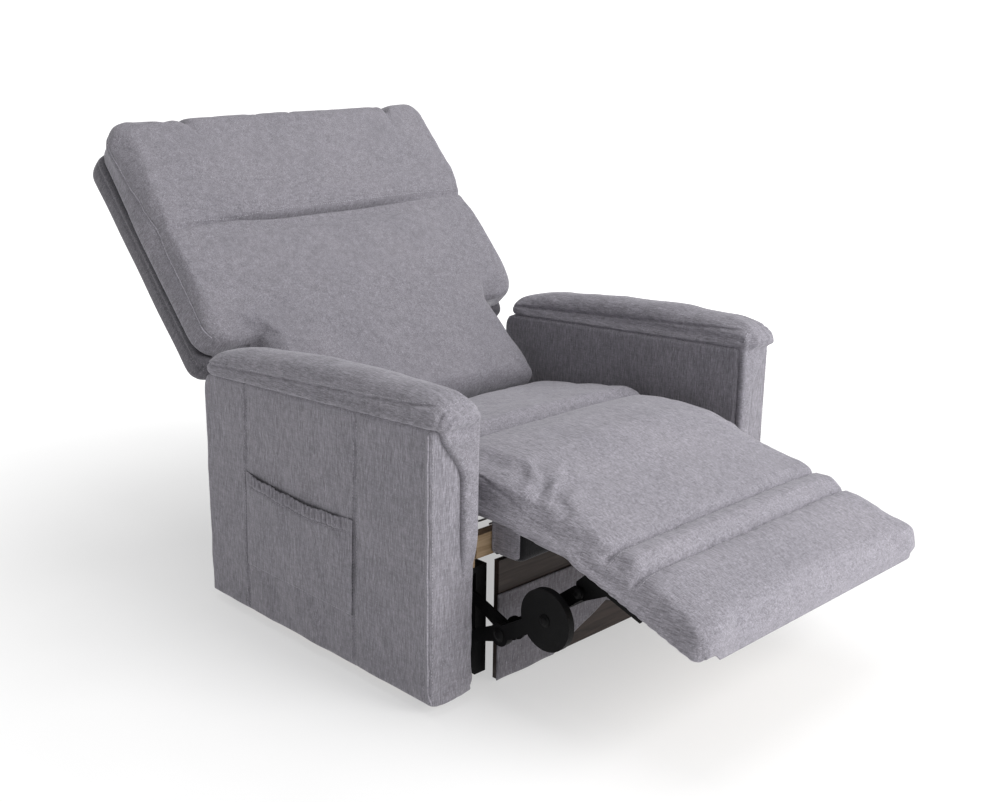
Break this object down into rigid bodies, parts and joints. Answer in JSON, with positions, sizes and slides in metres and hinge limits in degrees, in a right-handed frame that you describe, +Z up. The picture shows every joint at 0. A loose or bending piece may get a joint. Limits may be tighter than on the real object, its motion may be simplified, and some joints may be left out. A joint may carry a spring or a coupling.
{
  "type": "recliner armchair",
  "caption": "Upholstered power recliner armchair in grey woven fabric, with a reclining back, an extending footrest, pillow arms and a side pocket.",
  "frame": {"origin": "on the floor, under the middle of the chair's outline with the back reclined and the footrest out", "axes": "+X to the sitter's left, -Y the way the sitter faces, +Z up"},
  "size_m": [1.008, 1.7147, 0.9845],
  "materials": {
    "fabric": "woven chenille",
    "timber": "planed",
    "dark_board": "stained",
    "black_steel": "satin black",
    "bare_steel": "zinc plated",
    "black_plastic": "moulded",
    "stop_rubber": "moulded"
  },
  "bodies": {
    "base": {"arm_outer_cover_right": "fabric", "arm_outer_cover_left": "fabric", "arm_inner_cover_right": "fabric", "arm_inner_cover_left": "fabric", "arm_front_cover_right": "fabric", "arm_front_cover_left": "fabric", "arm_pad_right": "fabric", "arm_pad_left": "fabric", "arm_band_right": "fabric", "arm_band_left": "fabric", "arm_board_right": "timber", "arm_board_left": "timber", "seat_side_rail_right": "timber", "seat_side_rail_left": "timber", "front_post_right": "black_steel", "front_post_left": "black_steel", "hub_bracket_right": "black_steel", "hub_bracket_left": "black_steel", "back_hinge_plate_right": "black_steel", "back_hinge_plate_left": "black_steel", "side_pocket": "fabric", "front_skirt": "fabric", "front_board": "dark_board", "seat_front_border": "fabric", "seat_cushion": "fabric", "chaise_pad": "fabric", "chaise_gusset": "fabric", "seat_rail_front": "timber", "seat_rail_rear": "timber", "seat_springs": "bare_steel", "rear_cross_tube": "black_steel", "back_hinge_pins": "bare_steel", "floor_glides": "black_plastic", "gearbox_housing": "black_plastic", "motor_housing": "black_plastic", "rear_dust_cover": "fabric", "guide_tube": "bare_steel"},
    "backrest": {"back_shell": "fabric", "lower_back_cushion": "fabric", "lumbar_cushion": "fabric", "headrest_cushion": "fabric", "back_rails": "timber", "back_springs": "bare_steel", "back_post_right": "timber", "back_post_left": "timber", "back_bracket_right": "black_steel", "back_bracket_left": "black_steel"},
    "footrest": {"footrest_pad": "fabric", "footrest_board": "timber", "footrest_stops": "stop_rubber", "footrest_bar_right": "black_steel", "footrest_bar_left": "black_steel"},
    "drive_links": {"drive_cross_tube": "black_steel", "actuator_crank": "black_steel", "swing_arm_right": "black_steel", "swing_arm_left": "black_steel", "swing_disc_right": "black_steel", "swing_disc_left": "black_steel"},
    "drive_rod": {"actuator_rod": "bare_steel", "rod_fork": "black_steel"}
  },
  "joints": [
    {"name": "back_recline", "type": "hinge", "parent": "base", "child": "backrest", "pos_m": [0, 0.2089, 0.32], "axis": [1, 0, 0], "range_deg": [0, 26]},
    {"name": "footrest_fold", "type": "hinge", "parent": "base", "child": "footrest", "pos_m": [0, -0.50407, 0.4243], "axis": [1, 0, 0], "range_deg": [0, 72], "deforming": ["chaise_gusset"]},
    {"name": "drive_swing", "type": "hinge", "parent": "base", "child": "drive_links", "pos_m": [0, -0.4161, 0.138], "axis": [1, 0, 0], "range_deg": [-68.35, 0]},
    {"name": "rod_slide", "type": "slide", "parent": "base", "child": "drive_rod", "axis": [0, 1, 0], "range_m": [0, 0.07883]}
  ],
  "couplings": [
    {"joint": "drive_swing", "follows": "footrest_fold", "ratio": -0.9492},
    {"joint": "rod_slide", "follows": "footrest_fold", "m_per_rad": 0.06257}
  ]
}
